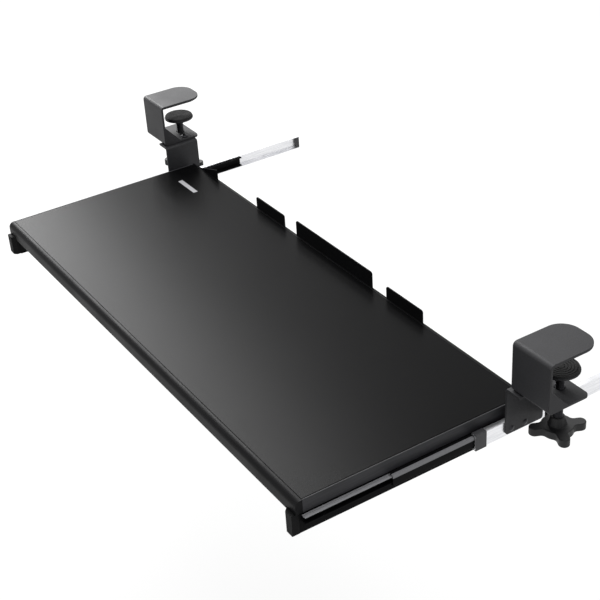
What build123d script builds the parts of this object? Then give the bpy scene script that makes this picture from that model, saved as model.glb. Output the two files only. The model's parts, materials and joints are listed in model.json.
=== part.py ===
from build123d import *
import os

# Clamp-on pull-out keyboard tray, shown pulled out.
# Frame: +X to the user's right, +Y towards the desk, +Z up.
# The origin is the centre of the board's top face. All sizes are in millimetres.

os.makedirs("parts", exist_ok=True)

# Board and its edge bands
board_width = 700
board_depth = 279
board_thickness = 15
band_thickness = 2
front_band_thickness = 8
front_band_round = 7
front_lip_thickness = 5
front_lip_drop = 3.5
front_lip_round = 1.5
front_lip_gap = 1
seam_chamfer = 0.5

# Fence over the board's rear edge, with raised tabs
fence_margin = 10
fence_thickness = 1.5
middle_tab_width = 163
middle_tab_height = 21
outer_tab_width = 68
outer_tab_height = 16
tab_gap = 28.5
end_tab_width = 48
end_tab_height = 14.5
end_tab_margin = 9
tab_corner_round = 3
fence_screw_margin = 40
fence_screw_count = 6

# Folded side rails under the board
rail_sheet = 1.5
rail_height = 25.5
rail_width = 16
rail_inset = 1
rail_bend_radius = 1
rail_end_margin = 4
rail_screw_margin = 18.5
rail_screw_count = 4
access_hole_radius = 5

# Plastic caps in the rails' front ends
cap_face_thickness = 8.5
cap_plug_length = 12
cap_clearance = 0.2
cap_round = 2
cap_chamfer = 5

# Ball-bearing slides: an inner member on the rail, a middle one, and an outer one on the clamp
slide_length = 250
slide_travel = 190
slide_stagger = 100
slide_front_margin = 6.5
slide_thickness = 10.5
slide_sheet = 0.9
slide_drop = 21.5
slide_corner_round = 0.6
outer_member_height = 18
outer_flange_tip = 4.4
middle_flange_tip = 1.6
race_gap = 1.7
web_gap = 0.25
cage_sheet = 0.4
cage_leg_sheet = 0.6
cage_leg_margin = 0.4
cage_length = 140
ball_radius = 1.2
ball_race_clearance = 0.15
ball_hole_clearance = 0.1
ball_margin = 10.5
balls_per_row = 8
outer_ball_reach = 6.6
inner_ball_reach = 3.2
bumper_length = 14
bumper_sheet = 0.8
buffer_clearance = 0.2
slide_screw_margin = 25
slide_screw_count = 3

# Clamp frames on the desk's edge
clamp_width = 54.5
clamp_reach = 33.25
clamp_sheet = 3
clamp_front = 106.5
clamp_rise = 88
clamp_arm_rise = 30
clamp_bend_radius = 2
tongue_length = 66
tongue_round = 21
arm_length = 53.5
arm_round = 6
gusset_height = 24
gusset_length = 21.5
gusset_sheet = 2.5
tongue_pad_thickness = 2
tongue_pad_inset = 3
desk_thickness = 25

# Hangers that carry the slides under the clamps
hanger_sheet = 2.5
hanger_lead = 2
hanger_length = 49
hanger_drop = 27
hanger_flange_width = 21.5
hanger_bend_radius = 1
hanger_round = 3
hanger_bolt_reach = 14.5
first_bolt_setback = 12.5
bolt_spacing = 24
first_rivet_setback = 7.5
rivet_spacing = 18

# Clamp screws, knobs and pressure pads
screw_setback = 38.5
screw_radius = 5
screw_hole_clearance = 0.5
thread_spacing = 1.5
thread_depth = 0.65
thread_crest = 0.3
bore_clearance = 0.05
clamp_nut_flats = 17
clamp_nut_height = 8
pad_radius = 20
pad_plate_thickness = 2.5
pad_cushion_thickness = 2
pad_cushion_inset = 1
pad_edge_round = 0.8
pad_boss_radius = 8
pad_boss_height = 6
pilot_radius = 3
pilot_length = 5
pilot_clearance = 0.08
pilot_end_gap = 0.2
knob_radius = 29.5
knob_core_radius = 17
knob_lobe_width = 12
knob_waist_round = 5
knob_thickness = 9
knob_edge_round = 1.2
knob_hub_radius = 9
knob_hub_top_radius = 7
knob_hub_height = 10
knob_drop = 21
knob_grip_depth = 15
knob_lobes = 4
left_knob_turn = 40
right_knob_turn = 64

# Fasteners
board_screw_radius = 2
board_screw_length = 10
board_screw_head_radius = 3.8
board_screw_head_height = 2.2
slide_screw_radius = 1.5
slide_screw_length = 6
slide_screw_head_radius = 2.3
slide_screw_head_height = 1.5
bolt_radius = 2.5
bolt_head_radius = 4.75
bolt_head_height = 2.8
bolt_tail = 1
bolt_nut_flats = 8
bolt_nut_height = 4
rivet_radius = 2
rivet_head_radius = 3.5
rivet_head_height = 1.2
hole_clearance = 0.1
recess_width = 0.9

# Places that follow from the sizes above
board_front = -board_depth / 2
board_rear = board_depth / 2
board_side = board_width / 2
band_middle = -board_thickness / 2
fence_length = board_width - 2 * fence_margin
fence_screw_spacing = (fence_length - 2 * fence_screw_margin) / (fence_screw_count - 1)
fence_rear = board_rear + fence_thickness
rail_face = board_side - rail_inset
rail_top = -board_thickness
rail_bottom = rail_top - rail_height
rail_front = board_front + rail_end_margin
rail_length = board_depth - 2 * rail_end_margin
rail_middle = rail_face - rail_width / 2
rail_screw_spacing = (rail_length - 2 * rail_screw_margin) / (rail_screw_count - 1)
slide_back = rail_face + slide_thickness
inner_front = board_front + slide_front_margin
middle_front = inner_front + slide_stagger
outer_front = middle_front + slide_stagger
slide_screw_spacing = (slide_length - 2 * slide_screw_margin) / (slide_screw_count - 1)
slide_middle = inner_front + slide_length / 2
outer_half = outer_member_height / 2
middle_half = outer_half - slide_sheet - race_gap
inner_half = middle_half - slide_sheet - race_gap
outer_ball_rise = outer_half - slide_sheet - race_gap / 2
inner_ball_rise = middle_half - slide_sheet - race_gap / 2
outer_web = slide_thickness - slide_sheet
outer_cage_back = outer_web - web_gap
middle_back = outer_cage_back - cage_sheet - web_gap
inner_cage_back = middle_back - slide_sheet - web_gap
inner_flange_tip = inner_cage_back - cage_sheet - web_gap
ball_spacing = (cage_length - 2 * ball_margin) / (balls_per_row - 1)
inner_cage_front = (middle_front + inner_front + slide_length - cage_length) / 2
outer_cage_front = (outer_front + middle_front + slide_length - cage_length) / 2
buffer_front = middle_front + slide_travel / 2 + slide_length + buffer_clearance
clamp_centre = slide_back + clamp_reach
clamp_inner_side = clamp_centre - clamp_width / 2
screw_line = clamp_front + screw_setback
arm_top = clamp_arm_rise + clamp_sheet
tongue_underside = clamp_rise - clamp_sheet
desk_top = tongue_underside - tongue_pad_thickness
desk_underside = desk_top - desk_thickness
hanger_front = clamp_front - hanger_lead
hanger_face = slide_back + hanger_sheet
hanger_underside = clamp_arm_rise - hanger_sheet
bolt_line = slide_back + hanger_bolt_reach
first_bolt = hanger_front + first_bolt_setback
first_rivet = hanger_front + first_rivet_setback
pad_plate_top = desk_underside - pad_cushion_thickness
pad_boss_bottom = pad_plate_top - pad_plate_thickness - pad_boss_height
knob_top = knob_thickness - knob_drop
knob_hub_top = knob_top + knob_hub_height

sides = {"left": -1, "right": 1}
knob_turns = {"left": left_knob_turn, "right": right_knob_turn}


def save(part, name):
    part.label = name
    export_step(part, f"parts/{name}.step")


def across(y):
    # A plane square to Y at this y. Its normal points to the user and its own y runs up.
    return Plane.XZ.offset(-y)


def outward(side, x):
    # A plane square to X, x out on this side, whose normal points away from the middle.
    # Its own x is Y times the side, and its own y runs up.
    return Plane(origin=(side * x, 0, 0), x_dir=(0, side, 0), z_dir=(side, 0, 0))


def inward(side, x):
    # The same plane with its normal towards the middle. Its own x is minus Y times the side.
    return Plane(origin=(side * x, 0, 0), x_dir=(0, -side, 0), z_dir=(-side, 0, 0))


def section(side, reach, rise):
    # A point of the slide's cross-section: out from the rail's face, up from the slide's middle.
    return (side * (rail_face + reach), rise - slide_drop)


def pan_head_screw(radius, length, head_radius, head_height):
    # Stands along +Z, with its head below the origin and its shank above.
    with BuildPart() as screw:
        with BuildSketch(Plane.XY.offset(-head_height)):
            Circle(head_radius)
        extrude(amount=head_height)
        fillet(screw.edges().group_by(Axis.Z)[0], radius=head_height / 2)
        with BuildSketch():
            Circle(radius)
        extrude(amount=length)
        chamfer(screw.edges().group_by(Axis.Z)[-1], length=radius / 3)
        with BuildSketch(Plane.XY.offset(-head_height)):
            Rectangle(head_radius, recess_width)
            Rectangle(recess_width, head_radius)
        extrude(amount=head_height / 2, mode=Mode.SUBTRACT)
    return screw.part


def hex_nut(flats, height, bore):
    # Stands on the origin.
    with BuildPart() as nut:
        with BuildSketch():
            RegularPolygon(flats / 2, 6, major_radius=False)
            Circle(bore, mode=Mode.SUBTRACT)
        extrude(amount=height)
    return nut.part


def slide_member(side, front, back, web_face, tip, half, ball_places, holes, hole_radius):
    # A C-section along the slide, with a ball groove at each place and holes through its web.
    with BuildPart() as member:
        with BuildSketch(across(front)) as profile:
            with Locations(section(side, (back + tip) / 2, 0)):
                Rectangle(abs(back - tip), 2 * half)
            web_corners = profile.vertices().filter_by(
                lambda corner: abs(abs(corner.X) - rail_face - back) < slide_sheet / 2
            )
            fillet(web_corners, radius=slide_corner_round)
            with Locations(section(side, (web_face + tip) / 2, 0)):
                Rectangle(abs(web_face - tip), 2 * (half - slide_sheet), mode=Mode.SUBTRACT)
            for reach, rise in ball_places:
                with Locations(section(side, reach, rise), section(side, reach, -rise)):
                    Circle(ball_radius + ball_race_clearance, mode=Mode.SUBTRACT)
        extrude(amount=-slide_length)
        if holes:
            with BuildSketch(outward(side, rail_face + min(back, web_face))):
                with Locations(*[(side * y, -slide_drop) for y in holes]):
                    Circle(hole_radius)
            extrude(amount=slide_sheet, mode=Mode.SUBTRACT)
    return member.part


def ball_cage(side, front, back, rise, ball_reach):
    # A C-shaped strip whose legs run between two members and hold the balls.
    tip = ball_reach - ball_radius - cage_leg_margin
    half = rise + cage_leg_sheet / 2
    hollow_back = back - cage_sheet
    with BuildPart() as cage:
        with BuildSketch(across(front)):
            with Locations(section(side, (back + tip) / 2, 0)):
                Rectangle(back - tip, 2 * half)
            with Locations(section(side, (hollow_back + tip) / 2, 0)):
                Rectangle(hollow_back - tip, 2 * (half - cage_leg_sheet), mode=Mode.SUBTRACT)
        extrude(amount=-cage_length)
        x, z = section(side, ball_reach, -half)
        with BuildSketch(Plane.XY.offset(z)):
            with Locations((x, front + cage_length / 2)):
                with GridLocations(0, ball_spacing, 1, balls_per_row):
                    Circle(ball_radius + ball_hole_clearance)
        extrude(amount=2 * half, mode=Mode.SUBTRACT)
    return cage.part


def ball_rows(side, front, rise, ball_reach):
    # One row of balls above the slide's middle and one below.
    with BuildPart() as balls:
        for level in (-rise, rise):
            x, z = section(side, ball_reach, level)
            with Locations((x, front + cage_length / 2, z)):
                with GridLocations(0, ball_spacing, 1, balls_per_row):
                    Sphere(ball_radius)
    return balls.part


# Board: the core panel, with pilot holes for the fence's and the rails' screws
with BuildPart() as tray_board:
    core_depth = board_depth - front_band_thickness - band_thickness
    core_middle = (front_band_thickness - band_thickness) / 2
    with BuildSketch(Plane.XY.offset(-board_thickness)):
        with Locations((0, core_middle)):
            Rectangle(board_width - 2 * band_thickness, core_depth)
    extrude(amount=board_thickness)
    chamfer(tray_board.edges().group_by(Axis.Z)[-1], length=seam_chamfer)
    with BuildSketch(across(board_rear)):
        with Locations((0, band_middle)):
            with GridLocations(fence_screw_spacing, 0, fence_screw_count, 1):
                Circle(board_screw_radius + hole_clearance)
    extrude(amount=board_screw_length, mode=Mode.SUBTRACT)
    with BuildSketch(Plane.XY.offset(-board_thickness)):
        with GridLocations(2 * rail_middle, rail_screw_spacing, 2, rail_screw_count):
            Circle(board_screw_radius + hole_clearance)
    extrude(amount=board_screw_length, mode=Mode.SUBTRACT)
save(tray_board.part, "tray_board")

# Front band over the whole width, well rounded above, with a lip below between the rails
with BuildPart() as front_edge_band:
    with BuildSketch(Plane.YZ.offset(-board_side)):
        with Locations((board_front + front_band_thickness / 2, band_middle)):
            Rectangle(front_band_thickness, board_thickness)
    extrude(amount=board_width)
    lip_reach = rail_face - rail_width - front_lip_gap
    with BuildSketch(Plane.YZ.offset(-lip_reach)):
        with Locations((board_front, -board_thickness)):
            Rectangle(front_lip_thickness, front_lip_drop, align=(Align.MIN, Align.MAX))
    extrude(amount=2 * lip_reach)
    front_edges = front_edge_band.edges().filter_by(Axis.X).group_by(Axis.Y)[0].sort_by(Axis.Z)
    fillet(front_edges[-1], radius=front_band_round)
    fillet(front_edges[0], radius=front_lip_round)
save(front_edge_band.part, "front_edge_band")

with BuildPart() as rear_edge_band:
    with BuildSketch(Plane.YZ.offset(-board_side)):
        with Locations((board_rear - band_thickness / 2, band_middle)):
            Rectangle(band_thickness, board_thickness)
    extrude(amount=board_width)
    with BuildSketch(across(board_rear)):
        with Locations((0, band_middle)):
            with GridLocations(fence_screw_spacing, 0, fence_screw_count, 1):
                Circle(board_screw_radius + hole_clearance)
    extrude(amount=band_thickness, mode=Mode.SUBTRACT)
save(rear_edge_band.part, "rear_edge_band")

for name, side in sides.items():
    with BuildPart() as side_band:
        with BuildSketch(Plane.XY.offset(-board_thickness)):
            with Locations((side * (board_side - band_thickness / 2), core_middle)):
                Rectangle(band_thickness, core_depth)
        extrude(amount=board_thickness)
        chamfer(side_band.edges().filter_by(Axis.Y).group_by(Axis.Z)[-1], length=seam_chamfer)
    save(side_band.part, f"{name}_edge_band")

# Fence: a strip that is low between its tabs. A short tab near the left end slopes down outwards.
outer_tab_centre = middle_tab_width / 2 + tab_gap + outer_tab_width / 2
end_tab_start = end_tab_margin - fence_length / 2
end_tab_stop = end_tab_start + end_tab_width
with BuildPart() as rear_fence:
    with BuildSketch(across(board_rear)) as fence_outline:
        with Locations((0, band_middle)):
            Rectangle(fence_length, board_thickness)
        Rectangle(middle_tab_width, middle_tab_height, align=(Align.CENTER, Align.MIN))
        with Locations((-outer_tab_centre, 0), (outer_tab_centre, 0)):
            Rectangle(outer_tab_width, outer_tab_height, align=(Align.CENTER, Align.MIN))
        tab_corners = fence_outline.vertices().filter_by(lambda corner: corner.Y > 0)
        fillet(tab_corners, radius=tab_corner_round)
        with BuildLine():
            Polyline((end_tab_start, 0), (end_tab_stop, 0), (end_tab_stop, end_tab_height), close=True)
        make_face()
        with Locations((0, band_middle)):
            with GridLocations(fence_screw_spacing, 0, fence_screw_count, 1):
                Circle(board_screw_radius + hole_clearance, mode=Mode.SUBTRACT)
    extrude(amount=-fence_thickness)
save(rear_fence.part, "rear_fence")

board_screw = pan_head_screw(
    board_screw_radius, board_screw_length, board_screw_head_radius, board_screw_head_height
)
with BuildPart() as fence_screws:
    with Locations(across(fence_rear)):
        with Locations((0, band_middle, 0)):
            with GridLocations(fence_screw_spacing, 0, fence_screw_count, 1):
                add(board_screw)
save(fence_screws.part, "fence_screws")

with BuildPart() as rail_screws:
    with Locations((0, 0, rail_top - rail_sheet)):
        with GridLocations(2 * rail_middle, rail_screw_spacing, 2, rail_screw_count):
            add(board_screw)
save(rail_screws.part, "rail_screws")

slide_screw_places = [
    slide_middle + slide_screw_spacing * (i - (slide_screw_count - 1) / 2) for i in range(slide_screw_count)
]
slide_screw = pan_head_screw(
    slide_screw_radius, slide_screw_length, slide_screw_head_radius, slide_screw_head_height
)
with BuildPart() as slide_screws:
    for side in sides.values():
        with Locations(inward(side, rail_face + slide_sheet)):
            with Locations(*[(-side * y, -slide_drop, 0) for y in slide_screw_places]):
                add(slide_screw)
save(slide_screws.part, "slide_screws")

rivet_places = [first_rivet, first_rivet + rivet_spacing]
bolt_places = [first_bolt, first_bolt + bolt_spacing]

for name, side in sides.items():
    # Side rail: a channel open towards the middle, with access holes under its screws
    with BuildPart() as side_rail:
        with BuildSketch(across(rail_front)) as rail_profile:
            with Locations((side * rail_middle, rail_top - rail_height / 2)):
                Rectangle(rail_width, rail_height)
            with Locations((side * (rail_middle - rail_sheet), rail_top - rail_height / 2)):
                Rectangle(rail_width, rail_height - 2 * rail_sheet, mode=Mode.SUBTRACT)
            outer_corners = rail_profile.vertices().filter_by(
                lambda corner: abs(corner.X) > rail_face - rail_sheet / 2
            )
            fillet(outer_corners, radius=rail_bend_radius + rail_sheet)
            inner_corners = rail_profile.vertices().filter_by(
                lambda corner: abs(abs(corner.X) - rail_face + rail_sheet) < rail_sheet / 4
            )
            fillet(inner_corners, radius=rail_bend_radius)
        extrude(amount=-rail_length)
        with BuildSketch(Plane.XY.offset(rail_top - rail_sheet)):
            with Locations((side * rail_middle, 0)):
                with GridLocations(0, rail_screw_spacing, 1, rail_screw_count):
                    Circle(board_screw_radius + hole_clearance)
        extrude(amount=rail_sheet, mode=Mode.SUBTRACT)
        with BuildSketch(Plane.XY.offset(rail_bottom)):
            with Locations((side * rail_middle, 0)):
                with GridLocations(0, rail_screw_spacing, 1, rail_screw_count):
                    Circle(access_hole_radius)
        extrude(amount=rail_sheet, mode=Mode.SUBTRACT)
        with BuildSketch(outward(side, rail_face - rail_sheet)):
            with Locations(*[(side * y, -slide_drop) for y in slide_screw_places]):
                Circle(slide_screw_radius + hole_clearance)
        extrude(amount=rail_sheet, mode=Mode.SUBTRACT)
    save(side_rail.part, f"{name}_side_rail")

    # Rail cap: a block in front of the rail's end, cut off at its inner corner, and a plug in the rail
    with BuildPart() as rail_cap:
        with BuildSketch(across(rail_front - cap_face_thickness)):
            with Locations((side * rail_middle, rail_bottom)):
                cap_height = rail_height - cap_clearance
                Rectangle(rail_width, cap_height, align=(Align.CENTER, Align.MIN))
        extrude(amount=-cap_face_thickness)
        cap_front = rail_front - cap_face_thickness
        upright_edges = rail_cap.edges().filter_by(Axis.Z)
        chamfer(upright_edges.sort_by_distance((0, cap_front, rail_bottom))[0], length=cap_chamfer)
        fillet(rail_cap.edges().filter_by(Axis.Y).group_by(Axis.Z)[0], radius=cap_round)
        with BuildSketch(across(rail_front)) as plug:
            with Locations((side * (rail_middle - rail_sheet / 2), rail_top - rail_height / 2)):
                plug_width = rail_width - rail_sheet - 2 * cap_clearance
                Rectangle(plug_width, rail_height - 2 * rail_sheet - 2 * cap_clearance)
            fillet(plug.vertices(), radius=rail_bend_radius)
        extrude(amount=-cap_plug_length)
    save(rail_cap.part, f"{name}_rail_cap")

    # Slide members, nested in each other, each pulled out of the next
    inner_member = slide_member(
        side, inner_front, 0, slide_sheet, inner_flange_tip, inner_half,
        [(inner_ball_reach, inner_ball_rise)],
        slide_screw_places, slide_screw_radius + hole_clearance,
    )
    save(inner_member, f"{name}_inner_member")
    middle_member = slide_member(
        side, middle_front, middle_back, middle_back - slide_sheet, middle_flange_tip, middle_half,
        [(inner_ball_reach, inner_ball_rise), (outer_ball_reach, outer_ball_rise)],
        [], 0,
    )
    save(middle_member, f"{name}_middle_member")
    outer_member = slide_member(
        side, outer_front, slide_thickness, outer_web, outer_flange_tip, outer_half,
        [(outer_ball_reach, outer_ball_rise)],
        rivet_places, rivet_radius + hole_clearance,
    )
    save(outer_member, f"{name}_outer_member")

    # Ball cages and balls
    inner_cage = ball_cage(side, inner_cage_front, inner_cage_back, inner_ball_rise, inner_ball_reach)
    save(inner_cage, f"{name}_inner_cage")
    outer_cage = ball_cage(side, outer_cage_front, outer_cage_back, outer_ball_rise, outer_ball_reach)
    save(outer_cage, f"{name}_outer_cage")
    inner_balls = ball_rows(side, inner_cage_front, inner_ball_rise, inner_ball_reach)
    save(inner_balls, f"{name}_inner_balls")
    outer_balls = ball_rows(side, outer_cage_front, outer_ball_rise, outer_ball_reach)
    save(outer_balls, f"{name}_outer_balls")

    # Bumper: a clip round the outer member's front end
    with BuildPart() as slide_bumper:
        with BuildSketch(across(outer_front)):
            clip_back = slide_thickness + bumper_sheet
            with Locations(section(side, (outer_flange_tip + clip_back) / 2, 0)):
                Rectangle(clip_back - outer_flange_tip, 2 * (outer_half + bumper_sheet))
            with Locations(section(side, (outer_flange_tip + slide_thickness) / 2, 0)):
                Rectangle(slide_thickness - outer_flange_tip, 2 * outer_half, mode=Mode.SUBTRACT)
        extrude(amount=-bumper_length)
    save(slide_bumper.part, f"{name}_slide_bumper")

    # Buffer: a block in the outer member's rear end, which stops the middle member
    with BuildPart() as slide_buffer:
        with BuildSketch(across(buffer_front)):
            with Locations(section(side, (outer_flange_tip + outer_web) / 2, 0)):
                buffer_height = 2 * (outer_half - slide_sheet - cap_clearance)
                Rectangle(outer_web - outer_flange_tip, buffer_height)
        extrude(amount=-(outer_front + slide_length - buffer_front))
    save(slide_buffer.part, f"{name}_slide_buffer")

    # Hanger: an angle under the clamp's arm whose upright carries the outer member
    with BuildPart() as hanger:
        with BuildSketch(across(hanger_front)) as hanger_outline:
            upright_height = clamp_arm_rise + hanger_drop
            with Locations((side * (slide_back + hanger_sheet / 2), -hanger_drop)):
                Rectangle(hanger_sheet, upright_height, align=(Align.CENTER, Align.MIN))
            with Locations((side * (slide_back + hanger_flange_width / 2), hanger_underside)):
                Rectangle(hanger_flange_width, hanger_sheet, align=(Align.CENTER, Align.MIN))
            bend_corners = hanger_outline.vertices().sort_by_distance(
                (side * slide_back, clamp_arm_rise)
            )
            fillet(bend_corners[0], radius=hanger_bend_radius + hanger_sheet)
            inside_corner = hanger_outline.vertices().sort_by_distance(
                (side * hanger_face, hanger_underside)
            )[0]
            fillet(inside_corner, radius=hanger_bend_radius)
        extrude(amount=-hanger_length)
        fillet(hanger.edges().filter_by(Axis.X).group_by(Axis.Z)[0], radius=hanger_round)
        with BuildSketch(outward(side, slide_back)):
            with Locations(*[(side * y, -slide_drop) for y in rivet_places]):
                Circle(rivet_radius + hole_clearance)
        extrude(amount=hanger_sheet, mode=Mode.SUBTRACT)
        with BuildSketch(Plane.XY.offset(hanger_underside)):
            with Locations(*[(side * bolt_line, y) for y in bolt_places]):
                Circle(bolt_radius + hole_clearance)
        extrude(amount=hanger_sheet, mode=Mode.SUBTRACT)
    save(hanger.part, f"{name}_hanger")

    # Clamp frame: tongue, strap and arm bent from one strip, with a gusset at each side
    with BuildPart() as clamp_frame:
        with BuildSketch(Plane.YZ.offset(side * clamp_centre - clamp_width / 2)) as strip:
            with Locations((clamp_front, clamp_arm_rise)):
                Rectangle(clamp_sheet, clamp_rise - clamp_arm_rise, align=(Align.MIN, Align.MIN))
                Rectangle(arm_length, clamp_sheet, align=(Align.MIN, Align.MIN))
            with Locations((clamp_front, tongue_underside)):
                Rectangle(tongue_length, clamp_sheet, align=(Align.MIN, Align.MIN))
            fillet(strip.vertices().group_by(Axis.X)[0], radius=clamp_bend_radius + clamp_sheet)
            inner_corners = strip.vertices().filter_by(
                lambda corner: clamp_sheet / 2 < corner.X - clamp_front < 3 * clamp_sheet / 2
            )
            fillet(inner_corners, radius=clamp_bend_radius)
        extrude(amount=clamp_width)
        arm_corners = clamp_frame.edges().filter_by(Axis.Z).group_by(Axis.Y)[-2]
        fillet(arm_corners, radius=arm_round)
        tongue_corners = clamp_frame.edges().filter_by(Axis.Z).group_by(Axis.Y)[-1]
        fillet(tongue_corners, radius=tongue_round)
        for gusset_side in (clamp_inner_side, clamp_inner_side + clamp_width - gusset_sheet):
            with BuildSketch(outward(side, gusset_side)):
                with BuildLine():
                    gusset_root = clamp_front + clamp_sheet
                    Polyline(
                        (side * gusset_root, arm_top),
                        (side * (gusset_root + gusset_length), arm_top),
                        (side * gusset_root, arm_top + gusset_height),
                        close=True,
                    )
                make_face()
            extrude(amount=gusset_sheet)
        with BuildSketch(Plane.XY.offset(clamp_arm_rise)):
            with Locations((side * clamp_centre, screw_line)):
                Circle(screw_radius + screw_hole_clearance)
            with Locations(*[(side * bolt_line, y) for y in bolt_places]):
                Circle(bolt_radius + hole_clearance)
        extrude(amount=clamp_sheet, mode=Mode.SUBTRACT)
    save(clamp_frame.part, f"{name}_clamp_frame")

    # Pad under the tongue, where it rests on the desk
    with BuildPart() as tongue_pad:
        pad_front = clamp_front + clamp_sheet + clamp_bend_radius
        pad_length = clamp_front + tongue_length - tongue_pad_inset - pad_front
        with BuildSketch(Plane.XY.offset(desk_top)):
            with Locations((side * clamp_centre, pad_front + pad_length / 2)):
                Rectangle(clamp_width - 2 * tongue_pad_inset, pad_length)
        extrude(amount=tongue_pad_thickness)
        pad_corners = tongue_pad.edges().filter_by(Axis.Z).group_by(Axis.Y)[-1]
        fillet(pad_corners, radius=tongue_round - tongue_pad_inset)
    save(tongue_pad.part, f"{name}_tongue_pad")

    # Nut welded under the arm
    with BuildPart() as clamp_nut:
        with Locations((side * clamp_centre, screw_line, clamp_arm_rise - clamp_nut_height)):
            add(hex_nut(clamp_nut_flats, clamp_nut_height, screw_radius + bore_clearance))
    save(clamp_nut.part, f"{name}_clamp_nut")

    # Pressure plate: a disc with a boss below it, bored for the screw's pilot
    with BuildPart() as pressure_plate:
        with BuildSketch(Plane.XY.offset(pad_plate_top - pad_plate_thickness)):
            with Locations((side * clamp_centre, screw_line)):
                Circle(pad_radius)
        extrude(amount=pad_plate_thickness)
        fillet(pressure_plate.edges().group_by(Axis.Z)[0], radius=pad_edge_round)
        with BuildSketch(Plane.XY.offset(pad_boss_bottom)):
            with Locations((side * clamp_centre, screw_line)):
                Circle(pad_boss_radius)
        extrude(amount=pad_boss_height)
        with BuildSketch(Plane.XY.offset(pad_boss_bottom)):
            with Locations((side * clamp_centre, screw_line)):
                Circle(pilot_radius + pilot_clearance)
        extrude(amount=pilot_length + pilot_end_gap, mode=Mode.SUBTRACT)
    save(pressure_plate.part, f"{name}_pressure_plate")

    with BuildPart() as pad_cushion:
        with BuildSketch(Plane.XY.offset(pad_plate_top)):
            with Locations((side * clamp_centre, screw_line)):
                Circle(pad_radius - pad_cushion_inset)
        extrude(amount=pad_cushion_thickness)
        fillet(pad_cushion.edges().group_by(Axis.Z)[-1], radius=pad_edge_round)
    save(pad_cushion.part, f"{name}_pad_cushion")

    # Clamp screw: a shank in the knob, the thread as a row of ridges, and a pilot in the plate
    shoulder = pad_boss_bottom - pilot_end_gap
    root_radius = screw_radius - thread_depth
    ridge_count = int((shoulder - knob_hub_top) / thread_spacing)
    profile_points = [(0, knob_hub_top - knob_grip_depth), (root_radius, knob_hub_top - knob_grip_depth)]
    for ridge in range(ridge_count):
        foot = knob_hub_top + ridge * thread_spacing
        middle = foot + thread_spacing / 2
        profile_points += [
            (root_radius, foot),
            (screw_radius, middle - thread_crest / 2),
            (screw_radius, middle + thread_crest / 2),
        ]
    profile_points += [
        (root_radius, knob_hub_top + ridge_count * thread_spacing),
        (root_radius, shoulder),
        (pilot_radius, shoulder),
        (pilot_radius, pad_boss_bottom + pilot_length),
        (0, pad_boss_bottom + pilot_length),
    ]
    screw_plane = Plane(origin=(side * clamp_centre, screw_line, 0), x_dir=(1, 0, 0), z_dir=(0, -1, 0))
    with BuildPart() as clamp_screw:
        with BuildSketch(screw_plane):
            with BuildLine():
                Polyline(*profile_points, close=True)
            make_face()
        revolve(axis=Axis((side * clamp_centre, screw_line, 0), (0, 0, 1)))
    save(clamp_screw.part, f"{name}_clamp_screw")

    # Knob: a lobed star under a tapered hub
    knob_plane = Plane(origin=(side * clamp_centre, screw_line, -knob_drop)).rotated((0, 0, knob_turns[name]))
    with BuildPart() as knob:
        with BuildSketch(knob_plane) as star:
            Circle(knob_core_radius)
            with PolarLocations(0, knob_lobes):
                arm_reach = knob_radius - knob_lobe_width / 2
                Rectangle(arm_reach, knob_lobe_width, align=(Align.MIN, Align.CENTER))
            waist_corners = star.vertices().filter_by(
                lambda corner: Vector(corner.X, corner.Y, 0).length < (knob_core_radius + knob_radius) / 2
            )
            fillet(waist_corners, radius=knob_waist_round)
            with PolarLocations(knob_radius - knob_lobe_width / 2, knob_lobes):
                Circle(knob_lobe_width / 2)
        extrude(amount=knob_thickness)
        fillet(knob.faces().sort_by(Axis.Z)[0].edges(), radius=knob_edge_round)
        fillet(knob.faces().sort_by(Axis.Z)[-1].edges(), radius=knob_edge_round)
        with Locations((side * clamp_centre, screw_line, knob_top)):
            Cone(
                knob_hub_radius, knob_hub_top_radius, knob_hub_height,
                align=(Align.CENTER, Align.CENTER, Align.MIN),
            )
        with BuildSketch(Plane.XY.offset(knob_hub_top)):
            with Locations((side * clamp_centre, screw_line)):
                Circle(root_radius + bore_clearance)
        extrude(amount=-knob_grip_depth, mode=Mode.SUBTRACT)
    save(knob.part, f"{name}_knob")

# Fasteners of both clamps
hanger_bolt = pan_head_screw(
    bolt_radius, clamp_sheet + hanger_sheet + bolt_nut_height + bolt_tail, bolt_head_radius, bolt_head_height
)
with BuildPart() as hanger_bolts:
    with Locations(Plane(origin=(0, 0, arm_top), x_dir=(1, 0, 0), z_dir=(0, 0, -1))):
        for side in sides.values():
            with Locations(*[(side * bolt_line, -y, 0) for y in bolt_places]):
                add(hanger_bolt)
save(hanger_bolts.part, "hanger_bolts")

with BuildPart() as hanger_nuts:
    for side in sides.values():
        with Locations(*[(side * bolt_line, y, hanger_underside - bolt_nut_height) for y in bolt_places]):
            add(hex_nut(bolt_nut_flats, bolt_nut_height, bolt_radius + hole_clearance))
save(hanger_nuts.part, "hanger_nuts")

with BuildPart() as hanger_rivets:
    for side in sides.values():
        with BuildSketch(outward(side, rail_face + outer_web)):
            with Locations(*[(side * y, -slide_drop) for y in rivet_places]):
                Circle(rivet_radius)
        extrude(amount=slide_sheet + hanger_sheet)
        with BuildSketch(outward(side, hanger_face)):
            with Locations(*[(side * y, -slide_drop) for y in rivet_places]):
                Circle(rivet_head_radius)
        extrude(amount=rivet_head_height)
        fillet(
            hanger_rivets.edges().filter_by(GeomType.CIRCLE).group_by(Axis.X)[-1 if side > 0 else 0],
            radius=rivet_head_height / 2,
        )
save(hanger_rivets.part, "hanger_rivets")
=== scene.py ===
import json
import math

import bmesh
import bpy
from mathutils import Matrix, Quaternion, Vector


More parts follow.
